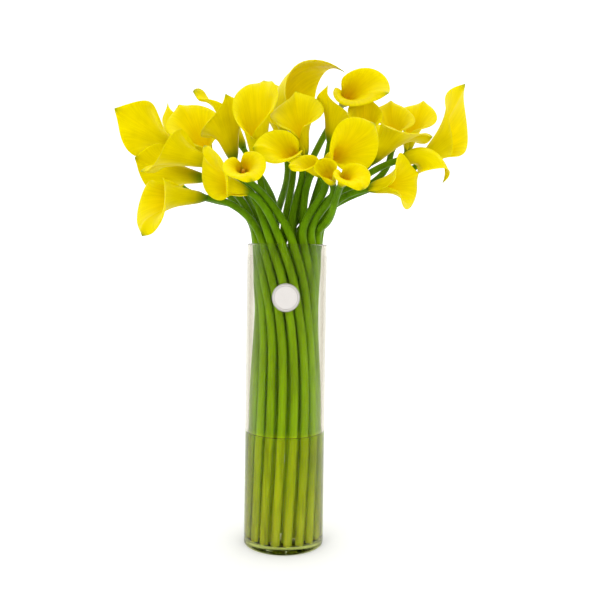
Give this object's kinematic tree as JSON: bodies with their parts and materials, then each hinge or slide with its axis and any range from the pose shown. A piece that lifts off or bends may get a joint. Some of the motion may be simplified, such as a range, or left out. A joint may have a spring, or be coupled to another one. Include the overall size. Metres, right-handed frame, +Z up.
{
  "type": "calla lily arrangement",
  "caption": "Yellow calla lilies with bare green stems, gathered in a spiral in a tall clear glass cylinder vase partly filled with water, with a blank round seal on the glass.",
  "frame": {"origin": "centre of the vase's underside", "axes": "+Z up along the vase's axis, +X to the viewer's right, +Y away from the viewer, so the round seal faces -Y"},
  "size_m": [0.5551, 0.3428, 0.7241],
  "materials": {
    "clear_glass": "gloss",
    "water": "gloss",
    "stem_green": "satin",
    "petal_yellow": "satin",
    "seal_white": "satin"
  },
  "bodies": {
    "root": {"calla_01_stem": "stem_green", "calla_01_spathe": "petal_yellow", "calla_02_stem": "stem_green", "calla_02_spathe": "petal_yellow", "calla_03_stem": "stem_green", "calla_03_spathe": "petal_yellow", "calla_04_stem": "stem_green", "calla_04_spathe": "petal_yellow", "calla_05_stem": "stem_green", "calla_05_spathe": "petal_yellow", "calla_06_stem": "stem_green", "calla_06_spathe": "petal_yellow", "calla_07_stem": "stem_green", "calla_07_spathe": "petal_yellow", "calla_08_stem": "stem_green", "calla_08_spathe": "petal_yellow", "calla_09_stem": "stem_green", "calla_09_spathe": "petal_yellow", "calla_10_stem": "stem_green", "calla_10_spathe": "petal_yellow", "calla_11_stem": "stem_green", "calla_11_spathe": "petal_yellow", "calla_12_stem": "stem_green", "calla_12_spathe": "petal_yellow", "calla_13_stem": "stem_green", "calla_13_spathe": "petal_yellow", "calla_14_stem": "stem_green", "calla_14_spathe": "petal_yellow", "calla_15_stem": "stem_green", "calla_15_spathe": "petal_yellow", "calla_16_stem": "stem_green", "calla_16_spathe": "petal_yellow", "calla_17_stem": "stem_green", "calla_17_spathe": "petal_yellow", "calla_18_stem": "stem_green", "calla_18_spathe": "petal_yellow", "calla_19_stem": "stem_green", "calla_19_spathe": "petal_yellow", "calla_20_stem": "stem_green", "calla_20_spathe": "petal_yellow", "calla_21_stem": "stem_green", "calla_21_spathe": "petal_yellow", "calla_22_stem": "stem_green", "calla_22_spathe": "petal_yellow", "calla_23_stem": "stem_green", "calla_23_spathe": "petal_yellow", "calla_24_stem": "stem_green", "calla_24_spathe": "petal_yellow", "calla_25_stem": "stem_green", "calla_25_spathe": "petal_yellow", "calla_26_stem": "stem_green", "calla_26_spathe": "petal_yellow", "calla_27_stem": "stem_green", "calla_27_spathe": "petal_yellow", "calla_28_stem": "stem_green", "calla_28_spathe": "petal_yellow", "glass_vase": "clear_glass", "round_seal": "seal_white", "water": "water"}
  },
  "joints": []
}
